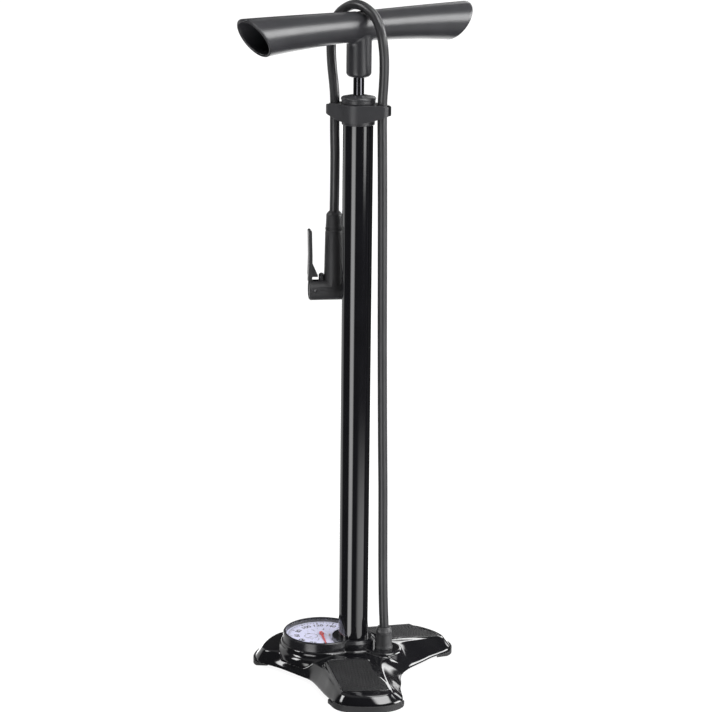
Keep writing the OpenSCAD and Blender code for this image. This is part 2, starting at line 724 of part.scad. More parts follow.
module piston() color([0.82, 0.82, 0.8]) difference() {
    union() {
        rod_between(bore_r - 0.06, piston_z + 6.2, piston_z + 17);
        rod_between(11.5, piston_z + 0.5, piston_z + 6.3);
    }
    rod_between(rod_r + 0.05, rod_foot, piston_z + 18);
}

module piston_seal() color([0.1, 0.1, 0.11]) translate([0, 0, piston_z])
    rotate_extrude() polygon([[11.55, 0.5], [bore_r - 1, 0.5], [bore_r - 0.05, 2],
        [bore_r - 0.05, 3.4], [bore_r - 1, 6.1], [11.55, 6.1]]);

module rod_circlip() color([0.75, 0.75, 0.77]) difference() {
    rod_between(rod_r + 1.6, piston_z + 17.3, piston_z + 18.5);
    rod_between(rod_r + 0.01, piston_z + 16, piston_z + 20);
    translate([rod_r - 1, -1.4, piston_z + 16]) cube([4, 2.8, 4]);
}

module top_bumper() color([0.1, 0.1, 0.11]) tube(12, rod_r + 0.02, piston_z + 18.52, piston_z + 26);

hub_foot = 644.5;
rod_top = 676;

module rod() color([0.25, 0.25, 0.27]) difference() {
    rod_between(rod_r, rod_foot + 0.1, rod_top);
    rod_between(rod_r - rod_wall, rod_foot + 4, rod_top + 1);
}

hub_r = 13;
handle_wall = 2.8;
handle_droop = 2.6;
handle_flare = 1.3;
end_slant = 27;
handle_sides = 32;
handle_rings = 8;

// Ring of the handle's tube at place t from -1 to 1; the ends are cut on a slant, top longest
function handle_ring(t, shrink, reach) = [for (k = [0 : handle_sides - 1])
    let (a = 360 * k / handle_sides, w = t * t,
        r = handle_waist_r + (handle_end_r - handle_waist_r) * pow(abs(t), handle_flare) - shrink,
        x = t * (reach - end_slant * abs(t) * (1 - sin(a)) / 2))
    [x, -r * cos(a), handle_z - handle_droop * w + r * sin(a)]];

module handle_tube(t0, t1, shrink, reach) {
    rings_solid([for (i = [0 : handle_rings])
        handle_ring(t0 + (t1 - t0) * i / handle_rings, shrink, reach)]);
}

module handle() color([0.17, 0.17, 0.18]) difference() {
    union() {
        rotate([0, 0, handle_turn]) {
            handle_tube(0, 1, 0, handle_half);
            handle_tube(-1, 0, 0, handle_half);
        }
        rod_between(hub_r, hub_foot + 4, handle_z);
        translate([0, 0, hub_foot + 1.4]) cylinder(r1 = hub_r - 1.8, r2 = hub_r, h = 2.6);
        translate([0, 0, hub_foot]) cylinder(r1 = hub_r - 5, r2 = hub_r - 1.8, h = 1.4);
        translate([0, 0, 676]) cylinder(r1 = hub_r, r2 = hub_r + 2, h = 8);
    }
    rotate([0, 0, handle_turn]) {
        handle_tube(0.16, 1.02, handle_wall, handle_half);
        handle_tube(-1.02, -0.16, handle_wall, handle_half);
    }
    rod_between(rod_r + 0.05, hub_foot - 1, rod_top);
    rod_between(9.55, hub_foot + 3, rod_top + 0.1);
    rod_between(3.05, rod_top - 1, handle_z + 30);
    rod_between(5.6, handle_z + 6, handle_z + 30);
}

// Metal ferrule in the hub that the rod's top is fixed in
module handle_insert() color([0.7, 0.7, 0.72]) tube(9.5, rod_r + 0.01, hub_foot + 3.05, rod_top);

// Bolt down through the handle into the rod's top, with its threaded plug in the rod
module handle_bolt() color([0.3, 0.3, 0.32]) {
    difference() {
        rod_between(5.2, handle_z + 6.1, handle_z + 11);
        translate([0, 0, handle_z + 8.5]) cylinder(r = 2.5, h = 4, $fn = 6);
    }
    rod_between(3, 660, handle_z + 6.2);
    rod_between(rod_r - rod_wall - 0.03, 656, rod_top);
}

base_casting();
step_pad_right();
step_pad_left();
foot_right();
foot_left();
foot_gauge_side();
bottom_cover();
cover_screws();
gauge_bezel();
gauge_lens();
gauge_dial();
gauge_case();
gauge_socket();
bourdon_tube();
movement_plate();
movement_posts();
pinion_spindle();
needle();
sector_gear();
needle_stop_pin();
air_pipe();
valve_block();
barrel_seal_ring();
check_valve_poppet();
check_valve_spring();
check_valve_plug();
barrel();
barrel_cap();
hose_clip_collar();
rod_bush();
rod_wiper();
hose_barb();
hose_boot();
hose();
head_tail();
head_nut();
head_body();
head_grommet();
head_front_cap();
head_plunger();
lever();
lever_pin();
piston();
piston_seal();
rod_circlip();
top_bumper();
rod();
handle();
handle_insert();
handle_bolt();
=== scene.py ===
"""Looks of the floor bike pump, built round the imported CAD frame.

Everything is in metres in the row frame: +Z up, the barrel's axis at x = y = 0, the gauge leg
towards -Y and the hose port towards +Y. MM turns the part's millimetres into metres.
"""
import json
import math

import bmesh
import bpy
import numpy as np
from mathutils import Matrix, Vector


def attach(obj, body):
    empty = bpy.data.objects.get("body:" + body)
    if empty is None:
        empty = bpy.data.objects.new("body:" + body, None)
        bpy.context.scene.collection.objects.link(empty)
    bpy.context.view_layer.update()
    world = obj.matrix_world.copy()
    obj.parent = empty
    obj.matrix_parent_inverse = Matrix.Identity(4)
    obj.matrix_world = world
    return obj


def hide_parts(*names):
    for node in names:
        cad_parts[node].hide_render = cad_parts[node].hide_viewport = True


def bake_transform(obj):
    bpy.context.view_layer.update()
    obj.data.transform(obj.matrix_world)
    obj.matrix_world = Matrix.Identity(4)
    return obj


MM = 0.001
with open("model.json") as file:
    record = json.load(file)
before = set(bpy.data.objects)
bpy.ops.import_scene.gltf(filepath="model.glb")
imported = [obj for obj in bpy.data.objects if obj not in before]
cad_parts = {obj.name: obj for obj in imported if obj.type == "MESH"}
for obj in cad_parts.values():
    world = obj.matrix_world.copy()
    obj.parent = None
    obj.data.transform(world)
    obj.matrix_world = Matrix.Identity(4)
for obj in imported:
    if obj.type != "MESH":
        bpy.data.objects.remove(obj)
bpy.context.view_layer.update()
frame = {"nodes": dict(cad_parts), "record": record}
NODES = frame["nodes"]


# ---- camera ----

CAMERA_TURN = 20.0       # the camera's direction from the barrel, from +X towards +Y
CAMERA_OUT = 2.35        # its level distance from the barrel
CAMERA_UP = 0.935
AIM_UP = 0.351
CAMERA_ROLL = 0.58
CAMERA_LENS = 116.3


def add_camera():
    turn = math.radians(CAMERA_TURN)
    place = Vector((CAMERA_OUT * math.cos(turn), CAMERA_OUT * math.sin(turn), CAMERA_UP))
    look = Vector((0, 0, AIM_UP)) - place
    data = bpy.data.cameras.new("camera")
    data.lens = CAMERA_LENS
    data.sensor_width = 36
    camera = bpy.data.objects.new("camera", data)
    bpy.context.scene.collection.objects.link(camera)
    camera.location = place
    camera.rotation_mode = "QUATERNION"
    roll = Matrix.Rotation(math.radians(CAMERA_ROLL), 4, "Z").to_quaternion()
    camera.rotation_quaternion = look.to_track_quat("-Z", "Y") @ roll
    bpy.context.scene.camera = camera


# ---- mesh helpers ----

def curve_point(p0, p1, p2, p3, u):
    """One point of a smooth curve through p1 and p2, as in the part's source."""
    return 0.5 * (2 * p1 + (p2 - p0) * u + (2 * p0 - 5 * p1 + 4 * p2 - p3) * u * u
                  + (3 * p1 - p0 - 3 * p2 + p3) * u ** 3)


def closed_curve(points, steps):
    p = [np.array(q, float) for q in points]
    m = len(p)
    return np.array([curve_point(p[i - 1], p[i], p[(i + 1) % m], p[(i + 2) % m], k / steps)
                     for i in range(m) for k in range(steps)])


def open_curve(points, steps):
    p = [np.array(q, float) for q in points]
    p = [2 * p[0] - p[1]] + p + [2 * p[-1] - p[-2]]
    out = [curve_point(p[i], p[i + 1], p[i + 2], p[i + 3], k / steps)
           for i in range(len(p) - 3) for k in range(steps)]
    return np.array(out + [p[-2]])


def rounded(points, radius, steps=5):
    """A profile whose inner corners are rounded; radius is one number or one per corner."""
    p = [np.array(q, float) for q in points]
    radii = radius if isinstance(radius, (list, tuple)) else [radius] * (len(p) - 2)
    out = [p[0]]
    for i, r in zip(range(1, len(p) - 1), radii):
        a, b = p[i - 1] - p[i], p[i + 1] - p[i]
        la, lb = np.linalg.norm(a), np.linalg.norm(b)
        start, end = p[i] + a / la * min(r, la * 0.49), p[i] + b / lb * min(r, lb * 0.49)
        for k in range(steps + 1):
            u = k / steps
            out.append(start * (1 - u) ** 2 + 2 * p[i] * u * (1 - u) + end * u * u)
    return np.array(out + [p[-1]])


def link(name, mesh, smooth_angle=None):
    for polygon in mesh.polygons:
        polygon.use_smooth = True
    if smooth_angle is not None:
        mesh.set_sharp_from_angle(angle=math.radians(smooth_angle))
    piece = bpy.data.objects.new(name, mesh)
    bpy.context.scene.collection.objects.link(piece)
    return piece


def face_outwards(mesh):
    b = bmesh.new()
    b.from_mesh(mesh)
    bmesh.ops.remove_doubles(b, verts=b.verts, dist=1e-7)
    bmesh.ops.recalc_face_normals(b, faces=b.faces)
    b.to_mesh(mesh)
    b.free()


def ring_mesh(name, rings, scale=MM, loop=False):
    """Closed mesh from rings of equal length: capped at both ends, or joined last to first."""
    n = len(rings[0])
    vertices = [tuple(np.array(p) * scale) for ring in rings for p in ring]
    spans = len(rings) if loop else len(rings) - 1
    faces = []
    for j in range(spans):
        a, b = j * n, (j + 1) % len(rings) * n
        faces += [(a + i, a + (i + 1) % n, b + (i + 1) % n, b + i) for i in range(n)]
    if not loop:
        faces += [tuple(range(n))[::-1], tuple((len(rings) - 1) * n + i for i in range(n))]
    mesh = bpy.data.meshes.new(name)
    mesh.from_pydata(vertices, [], faces)
    face_outwards(mesh)
    return mesh


def lathe_mesh(name, profile, centre=(0, 0), sides=96):
    """Closed mesh turned from a profile of (radius, height) about an upright axis."""
    angles = np.linspace(0, 2 * math.pi, sides, endpoint=False)
    rings = [[(centre[0] + max(r, 0.01) * math.cos(a), centre[1] + max(r, 0.01) * math.sin(a), z)
              for a in angles] for r, z in profile]
    return ring_mesh(name, rings)


def joined(name, meshes):
    b = bmesh.new()
    for mesh in meshes:
        b.from_mesh(mesh)
    mesh = bpy.data.meshes.new(name)
    b.to_mesh(mesh)
    b.free()
    return mesh


def tube_mesh(name, path, radius, sides=20, loop=False):
    """Tube round a path in metres; the ring turns with the path and never twists."""
    p = np.array(path, float)
    if loop:
        tangent = np.roll(p, -1, 0) - np.roll(p, 1, 0)
    else:
        tangent = np.gradient(p, axis=0)
    tangent /= np.linalg.norm(tangent, axis=1)[:, None]
    side = np.cross(tangent[0], (1.0, 0.02, 0.01))
    rings = []
    for point, t in zip(p, tangent):
        side = side - t * (side @ t)
        side /= np.linalg.norm(side)
        other = np.cross(t, side)
        rings.append([point + radius * (math.cos(a) * side + math.sin(a) * other)
                      for a in np.linspace(0, 2 * math.pi, sides, endpoint=False)])
    return ring_mesh(name, rings, 1, loop)


def applied(piece):
    """The piece's mesh with its modifiers applied."""
    graph = bpy.context.evaluated_depsgraph_get()
    mesh = bpy.data.meshes.new_from_object(piece.evaluated_get(graph), depsgraph=graph)
    piece.modifiers.clear()
    piece.data = mesh
    for polygon in mesh.polygons:
        polygon.use_smooth = True
    return piece


def cut_away(piece, cutters, solver):
    """Takes closed cutter meshes out of the piece, whose mesh is closed too."""
    holder = link("cutter", joined("cutter", cutters))
    cut = piece.modifiers.new("cut", "BOOLEAN")
    cut.operation = "DIFFERENCE"
    cut.solver = solver
    cut.object = holder
    applied(piece)
    bpy.data.objects.remove(holder)


# ---- materials ----

def nodes_of(name):
    material = bpy.data.materials.new(name)
    material.use_nodes = True
    tree = material.node_tree
    return material, tree, tree.nodes["Principled BSDF"]


def noise(tree, scale, detail=3.0, stretch=None):
    coordinates = tree.nodes.new("ShaderNodeTexCoord")
    texture = tree.nodes.new("ShaderNodeTexNoise")
    texture.inputs["Scale"].default_value = scale
    texture.inputs["Detail"].default_value = detail
    if stretch is None:
        tree.links.new(coordinates.outputs["Object"], texture.inputs["Vector"])
    else:
        mapping = tree.nodes.new("ShaderNodeMapping")
        mapping.inputs["Scale"].default_value = stretch
        tree.links.new(coordinates.outputs["Object"], mapping.inputs["Vector"])
        tree.links.new(mapping.outputs["Vector"], texture.inputs["Vector"])
    return texture.outputs["Fac"]


def spread(tree, value, low, high):
    """The noise value taken from its usual band to low..high."""
    node = tree.nodes.new("ShaderNodeMapRange")
    node.inputs["From Min"].default_value = 0.3
    node.inputs["From Max"].default_value = 0.7
    node.inputs["To Min"].default_value = low
    node.inputs["To Max"].default_value = high
    tree.links.new(value, node.inputs["Value"])
    return node.outputs["Result"]


def finish(name, colour, rough, grain, depth, vary=0.12, metal=0.0, coat=0.0, stretch=None,
           specular=0.5, wear=25.0):
    """A moulded, painted or metal surface. grain is the size in mm of its finest bumps and
    depth their height in mm; vary is how much roughness and shade drift across the piece."""
    material, tree, shader = nodes_of(name)
    shader.inputs["Metallic"].default_value = metal
    shader.inputs["Coat Weight"].default_value = coat
    shader.inputs["Coat Roughness"].default_value = 0.04
    shader.inputs["Specular IOR Level"].default_value = specular
    broad = noise(tree, wear, 4.0)
    tree.links.new(spread(tree, broad, rough * (1 - vary), rough * (1 + vary)),
                   shader.inputs["Roughness"])
    mix = tree.nodes.new("ShaderNodeMix")
    mix.data_type = "RGBA"
    mix.inputs["A"].default_value = (*[c * (1 - vary) for c in colour], 1)
    mix.inputs["B"].default_value = (*[min(1, c * (1 + vary)) for c in colour], 1)
    tree.links.new(spread(tree, noise(tree, wear * 1.7, 5.0), 0, 1), mix.inputs["Factor"])
    tree.links.new(mix.outputs["Result"], shader.inputs["Base Color"])
    bump = tree.nodes.new("ShaderNodeBump")
    bump.inputs["Strength"].default_value = 1.0
    bump.inputs["Distance"].default_value = depth * MM
    tree.links.new(noise(tree, 1000 / grain, 2.0, stretch), bump.inputs["Height"])
    tree.links.new(bump.outputs["Normal"], shader.inputs["Normal"])
    return material


def lens_finish():
    material, tree, shader = nodes_of("clear_lens")
    shader.inputs["Base Color"].default_value = (0.93, 0.94, 1, 1)
    shader.inputs["Alpha"].default_value = 0.05
    tree.links.new(spread(tree, noise(tree, 60), 0.02, 0.05), shader.inputs["Roughness"])
    return material


def floor_finish():
    material, tree, shader = nodes_of("pale_floor")
    shader.inputs["Base Color"].default_value = (0.12, 0.12, 0.12, 1)
    shader.inputs["Roughness"].default_value = 0.9
    shader.inputs["Specular IOR Level"].default_value = 0.0
    shader.inputs["Emission Color"].default_value = (1, 1, 1, 1)
    shader.inputs["Emission Strength"].default_value = FLOOR_GLOW
    return material


def dress(piece, material):
    piece.data.materials.clear()
    piece.data.materials.append(material)
    return piece


GLOSS_BASE = finish("gloss_base", (0.006, 0.006, 0.0072), 0.1, 2.5, 0.003, coat=0.5)
STEP_PAD = finish("step_pad", (0.014, 0.014, 0.015), 0.6, 0.7, 0.12, vary=0.25, specular=0.35)
FOOT = finish("foot_rubber", (0.02, 0.02, 0.021), 0.6, 0.6, 0.05)
COVER = finish("cover_plastic", (0.02, 0.02, 0.021), 0.5, 0.8, 0.04)
STEEL = finish("steel", (0.6, 0.6, 0.62), 0.28, 0.4, 0.006, metal=1.0, stretch=(1, 1, 0.1))
BEZEL = finish("bezel_black", (0.012, 0.012, 0.014), 0.2, 1.8, 0.005)
LENS = lens_finish()
DIAL = finish("dial_face", (0.74, 0.74, 0.95), 0.5, 0.6, 0.004, vary=0.02)
CASE = finish("gauge_case", (0.06, 0.06, 0.063), 0.5, 0.8, 0.03)
BRASS = finish("brass", (0.66, 0.5, 0.24), 0.3, 0.5, 0.01, metal=1.0)
NEEDLE_RED = finish("needle_red", (0.7, 0.03, 0.025), 0.35, 0.5, 0.003)
PRINT = finish("dial_print", (0.006, 0.006, 0.009), 0.6, 0.5, 0.001, specular=0.2)
BARREL = finish("barrel_black", (0.006, 0.006, 0.0075), 0.07, 4.0, 0.0012, coat=0.6)
SATIN = finish("satin_plastic", (0.035, 0.035, 0.038), 0.36, 0.6, 0.02)
BUSH = finish("bush_plastic", (0.7, 0.7, 0.66), 0.4, 0.8, 0.01, vary=0.04)
SEAL = finish("seal_rubber", (0.02, 0.02, 0.021), 0.5, 0.6, 0.03)
HOSE = finish("hose_rubber", (0.03, 0.03, 0.032), 0.34, 0.7, 0.01)
BOOT = finish("boot_rubber", (0.035, 0.035, 0.037), 0.5, 0.6, 0.03)
HEAD = finish("head_plastic", (0.024, 0.024, 0.026), 0.48, 0.5, 0.03)
ROD = finish("rod_black", (0.09, 0.09, 0.1), 0.1, 2.0, 0.001, metal=1.0)
HANDLE = finish("handle_plastic", (0.026, 0.026, 0.029), 0.33, 0.5, 0.004)
ALLOY = finish("alloy", (0.76, 0.77, 0.78), 0.3, 0.5, 0.01, metal=1.0)


# ---- hose ----

PORT_Y = 35.2
HOOK_Y = 26
HEAD_X, HEAD_Y, HEAD_HOSE_Z = -11.5, -30, 487
HOSE_ROUTE = [
    (0, PORT_Y, 31), (0, PORT_Y, 44), (0, PORT_Y, 57), (0, 34.4, 74), (0, 33.6, 97), (0, 33, 125),
    (0, 32.5, 163), (0, 32, 205), (0, 31.3, 240), (0, 30.7, 270), (0, 30, 310), (0, 29.3, 355),
    (0, 28.7, 400), (0, 28.2, 445), (0, 27.7, 490), (0, 27.1, 535), (0, 26.4, 575),
    (0, HOOK_Y, 597), (0, HOOK_Y, 620), (2, 27.6, 637), (5, 29.2, 653), (8.2, 30, 668),
    (10.8, 29.4, 682), (11.2, 26.8, 695), (8.7, 19.8, 707.5), (4.6, 9, 715.3), (0, -2.5, 718.2),
    (-4.6, -14.2, 715.4), (-9, -26, 707), (-11.6, -32.6, 694), (-11.3, -34.6, 681),
    (-8.9, -33.6, 666), (-5.4, -31.1, 651), (-2.4, -28, 635), (0, -HOOK_Y, 620), (0, -HOOK_Y, 598),
    (-1.2, -26.3, 583), (-4.5, -27.1, 565), (-7.8, -28.3, 543), (-10.7, -29.5, 522),
    (HEAD_X, HEAD_Y, 503), (HEAD_X, HEAD_Y, HEAD_HOSE_Z)]
HOSE_D = 10


def add_hose():
    path = open_curve(HOSE_ROUTE, 8) * MM
    hose = link("hose_tube", tube_mesh("hose_tube", path, HOSE_D / 2 * MM, 24), 60)
    dress(hose, HOSE)
    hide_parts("hose")
    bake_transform(hose)


# ---- base ----

RIM_HALF = [
    (90, 60), (80, 62), (72, 67), (63, 77), (56, 88), (51.5, 101), (49, 110), (46, 117.5),
    (41, 122.5), (35, 124.5), (28, 123.5), (20, 121.5), (14.5, 118.5), (10.5, 112.5), (7.5, 104.5),
    (2.5, 94), (-2, 86), (-8, 77.5), (-15, 70.5), (-26, 65), (-38, 66.5), (-50, 71.5), (-60, 79.5),
    (-66, 88.5), (-70, 97.5), (-73.5, 104), (-77.5, 108), (-83, 109.5), (-90, 110)]
TOP_HALF = [
    (90, 50, 25), (76, 50, 25), (63, 51, 25), (54, 56, 24.6), (48, 67, 23.2), (45, 80, 21.2),
    (43.5, 93, 19.3), (42.5, 105, 17.8), (41, 113.5, 16.8), (37, 117.5, 16.4), (29, 118.5, 16.3),
    (20, 117, 16.3), (15.5, 114.5, 16.3), (12, 107.5, 16.6), (7.5, 95.5, 17.2), (3.5, 86, 17.8),
    (-1, 76, 18.4), (-7, 67, 19.2), (-14, 60.5, 19.8), (-25, 56, 20.3), (-38, 54.5, 20.5),
    (-51, 60, 20.3), (-61, 69, 20.2), (-66, 80, 20.1), (-69.5, 91, 20), (-72.5, 97.5, 19.8),
    (-77, 100, 19.7), (-84, 100.5, 19.7), (-90, 100.5, 19.7)]
PLATEAU_Z = 27
FLOOR_GAP = 4
BASE_WALL = 3
CORE_R = 36
GAUGE_Y = -36.5
GAUGE_POCKET_R, BARREL_BORE_R, PORT_BORE_R = 38.7, 16.05, 6.02
BASE_VOXEL = 0.9
BASE_SMOOTHING = 8
# Profiles of the bosses as (radius, height)
GAUGE_BOSS = [(0, 14), (48.5, 14), (48.5, 19), (47.2, 21.5), (45.4, 23.2), (44.6, 25),
              (44.5, 28.6), (43.4, 29.7), (0, 29.7)]
BARREL_BOSS = [(0, 20), (24.6, 20), (24.6, 28.7), (23.6, 29.7), (0, 29.7)]
PORT_BOSS = [(0, 14), (20.2, 14), (20.2, 27.8), (19.3, 29.2), (18.2, 30), (0, 30)]


def outline(half, inset, drop):
    """Closed outline of the base from its half: the other half is its mirror image in X."""
    whole = half + [(180 - p[0], *p[1:]) for p in half[-2:0:-1]]
    points = []
    for angle, radius, *height in whole:
        a = math.radians(angle)
        z = height[0] - drop if height else 0.0
        points.append(((radius - inset) * math.cos(a), (radius - inset) * math.sin(a), z))
    return closed_curve(points, 10)


def leg_rings(inset, drop, foot_z):
    """Rings of the leg shell from its foot to the middle of its top, with soft corners."""
    rim = outline(RIM_HALF, inset, 0)
    edge = outline(TOP_HALF, inset, drop)
    face = outline(TOP_HALF, inset + 3, drop - 0.5)
    foot, low = rim.copy(), rim.copy()
    foot[:, 2], low[:, 2] = foot_z, foot_z + 3
    core = face.copy()
    core[:, :2] *= (CORE_R - inset) / np.linalg.norm(face[:, :2], axis=1)[:, None]
    core[:, 2] = PLATEAU_Z + 0.5 - drop
    flank = low * 0.5 + edge * 0.5 + (0, 0, 0.3)
    profiles = [rounded(corners, [1.5, 3, 4.5, 2], 4)
                for corners in zip(foot, low, flank, edge, face, core)]
    return [np.array([profile[k] for profile in profiles]) for k in range(len(profiles[0]))]


def add_base():
    """The shell and its bosses melt into one casting, with a fillet wherever they meet."""
    outer = leg_rings(0, 0, FLOOR_GAP)
    inner = leg_rings(BASE_WALL, BASE_WALL, FLOOR_GAP - 3)
    inner = [ring for ring in inner if ring[0][2] > FLOOR_GAP]
    lip = inner[0].copy()
    lip[:, 2] = FLOOR_GAP
    shell = ring_mesh("shell", inner[::-1] + [lip] + outer)
    gauge_boss = lathe_mesh("gauge_boss", GAUGE_BOSS, (0, GAUGE_Y), 160)
    barrel_boss = lathe_mesh("barrel_boss", BARREL_BOSS)
    port_boss = lathe_mesh("port_boss", PORT_BOSS, (0, PORT_Y))
    platforms = [ring_mesh("platform", [[pad_place(side, x, y, z) for x, y in swelled_pad(swell)]
                                        for swell, z in PAD_PLATFORM], 1) for side in (1, -1)]
    base = link("base_body", joined("base_body", [shell, gauge_boss, barrel_boss, port_boss,
                                                  *platforms]))
    remesh = base.modifiers.new("melt", "REMESH")
    remesh.mode = "VOXEL"
    remesh.voxel_size = BASE_VOXEL * MM
    smooth = base.modifiers.new("fillets", "SMOOTH")
    smooth.factor = 0.5
    smooth.iterations = BASE_SMOOTHING
    applied(base)
    cut_away(base, [
        lathe_mesh("gauge_pocket", [(GAUGE_POCKET_R, 8), (GAUGE_POCKET_R, 33)], (0, GAUGE_Y), 160),
        lathe_mesh("barrel_bore", [(BARREL_BORE_R, 24), (BARREL_BORE_R, 33)]),
        lathe_mesh("port_bore", [(PORT_BORE_R, 12), (PORT_BORE_R, 33)], (0, PORT_Y))], "MANIFOLD")
    dress(base, GLOSS_BASE)
    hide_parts("base_casting")
    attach(base, "root")


PAD_TURN = 26
PAD_OUT, PAD_Z = 72, 22.9
PAD_SLOPE = math.atan(0.137)
PAD_OUTLINE = [(107.5, -21.5), (107.5, 23.5), (105, 26), (93, 24), (84, 20.5), (75, 16.5),
               (62, 13.5), (50, 12.5), (45, 11.5), (42, 5), (41, -10), (42, -27), (45, -32)]
PAD_MIDDLE = (73, -3)
# Rings of the raised platform round a pad: how much the outline swells, and the height
PAD_PLATFORM = ((1.2, -8), (1.1, -1.4), (1.06, 0))


def pad_place(side, x, y, z):
    """A point of a pad's own plane, in mm, as a point of the row frame in metres."""
    c, s = math.cos(PAD_SLOPE), math.sin(PAD_SLOPE)
    u, w = PAD_OUT + x * c + z * s, PAD_Z - x * s + z * c
    a = math.radians(PAD_TURN)
    return (side * (u * math.cos(a) - y * math.sin(a)) * MM,
            (u * math.sin(a) + y * math.cos(a)) * MM, w * MM)


def swelled_pad(swell):
    """The pad's outline swelled about its middle, in the pad's own plane."""
    cx, cy = PAD_MIDDLE
    return [((x - cx) * swell + cx - PAD_OUT, (y - cy) * swell + cy) for x, y in PAD_OUTLINE]


def inside_pad(x, y, margin):
    """True where a point of the pad's plane is inside its outline by the margin."""
    corners = swelled_pad(1)
    inside = False
    for (ax, ay), (bx, by) in zip(corners, corners[1:] + corners[:1]):
        if (ay > y) != (by > y) and x < ax + (y - ay) / (by - ay) * (bx - ax):
            inside = not inside
        along = ((x - ax) * (bx - ax) + (y - ay) * (by - ay)) / ((bx - ax) ** 2 + (by - ay) ** 2)
        along = min(1, max(0, along))
        if math.hypot(x - ax - along * (bx - ax), y - ay - along * (by - ay)) < margin:
            return False
    return inside


BEAD_R, BEAD_SWELL, BEAD_Z, BEAD_STEPS = 0.55, 1.025, 0.12, 6
DOT_R, DOT_Z, DOT_FLATTEN, DOT_MARGIN = 0.8, 0.58, 0.7, 2.6
DOT_PITCH, ROW_PITCH = 3.4, 4.0
DOT_ARC_X, DOT_ARC_Y = 40, 2
FIRST_ROW_R, LAST_ROW_R, ROW_HALF_ANGLE = 8, 84, 1.3


def add_pad_trim(side, name):
    """A raised bead round the pad, and the rows of grip dots on it, on arcs from its outer end."""
    corners = [np.array((*p, BEAD_Z)) for p in swelled_pad(BEAD_SWELL)]
    line = [a * (1 - k / BEAD_STEPS) + b * k / BEAD_STEPS
            for a, b in zip(corners, corners[1:] + corners[:1]) for k in range(BEAD_STEPS)]
    path = [pad_place(side, *p) for p in line]
    bead = link("pad_bead_" + name, tube_mesh("bead", path, BEAD_R * MM, 10, loop=True))
    dress(bead, GLOSS_BASE)
    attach(bead, "root")
    dots = bmesh.new()
    for radius in np.arange(FIRST_ROW_R, LAST_ROW_R, ROW_PITCH):
        reach = int(radius * ROW_HALF_ANGLE / DOT_PITCH)
        for k in range(-reach, reach + 1):
            a = k * DOT_PITCH / radius
            x, y = DOT_ARC_X - radius * math.cos(a), DOT_ARC_Y + radius * math.sin(a)
            if inside_pad(x, y, DOT_MARGIN):
                made = bmesh.ops.create_icosphere(dots, subdivisions=2, radius=DOT_R * MM)
                place = (Matrix.Translation(pad_place(side, x, y, DOT_Z))
                         @ Matrix.Diagonal((1, 1, DOT_FLATTEN, 1)))
                bmesh.ops.transform(dots, matrix=place, verts=made["verts"])
    mesh = bpy.data.meshes.new("dots")
    dots.to_mesh(mesh)
    dots.free()
    piece = link("pad_dots_" + name, mesh)
    dress(piece, STEP_PAD)
    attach(piece, "root")


# ---- handle ----

HANDLE_Z, HANDLE_HALF, WAIST_R, END_R = 696.5, 157, 15.3, 19.5
HANDLE_TURN = 154
HANDLE_FLARE, HANDLE_DROOP, END_SLANT, HANDLE_WALL = 1.3, 2.6, 27, 2.8
BOLT_RECESS_R, BOLT_RECESS_FOOT = 5.6, 702.5
HUB_R, HUB_FOOT, HUB_FILLET = 13, 644.5, 5.5
HOLLOW_FROM = 0.16
LIP_PULL, LIP_FROM = 0.9, 0.97


def lip_pull(t):
    """How far a ring is drawn back near an end, which rounds the tube's rim."""
    return LIP_PULL * max(0, abs(t) - LIP_FROM) / (1 - LIP_FROM)


def handle_ring(t, shrink, pull=0.0, sides=96):
    """Ring of the handle's tube at t from -1 to 1; pull draws a lip's ring back along it."""
    ring = []
    for k in range(sides):
        a = 2 * math.pi * k / sides
        r = WAIST_R + (END_R - WAIST_R) * abs(t) ** HANDLE_FLARE - shrink
        x = t * (HANDLE_HALF - END_SLANT * abs(t) * (1 - math.sin(a)) / 2) - math.copysign(pull, t)
        ring.append((x, -r * math.cos(a), HANDLE_Z - HANDLE_DROOP * t * t + r * math.sin(a)))
    return ring


def hub_rings(sides=96):
    """The hub, and the fillet that a ball rolled between hub and tube would leave."""
    angles = np.linspace(0, 2 * math.pi, sides, False)
    rings = [[(r * math.cos(a), r * math.sin(a), z) for a in angles]
             for r, z in rounded([(5.9, HUB_FOOT + 0.6), (8, HUB_FOOT), (11.2, HUB_FOOT + 1.4),
                                  (HUB_R, HUB_FOOT + 4), (HUB_R, HUB_FOOT + 12)], 1.2)]
    for k in range(10):
        turn = k / 9
        ring = []
        for a in angles:
            ball_x = (HUB_R + HUB_FILLET) * math.cos(a)
            ball_y = (HUB_R + HUB_FILLET) * math.sin(a)
            ball_down = math.sqrt((WAIST_R + HUB_FILLET) ** 2 - ball_y ** 2)
            ball = np.array((ball_x, ball_y, HANDLE_Z - ball_down))
            on_hub = np.array((HUB_R * math.cos(a), HUB_R * math.sin(a), ball[2])) - ball
            share = (WAIST_R - 0.05) / (WAIST_R + HUB_FILLET)
            on_tube = np.array((ball_x, ball_y * share, HANDLE_Z - ball_down * share)) - ball
            blend = on_hub * (1 - turn) + on_tube * turn
            reach = np.linalg.norm(on_hub) * (1 - turn) + np.linalg.norm(on_tube) * turn
            ring.append(tuple(ball + blend / np.linalg.norm(blend) * reach))
        rings.append(ring)
    rings.append([(x * 0.6, y * 0.6, HANDLE_Z - WAIST_R + 4) for x, y, z in rings[-1]])
    return rings


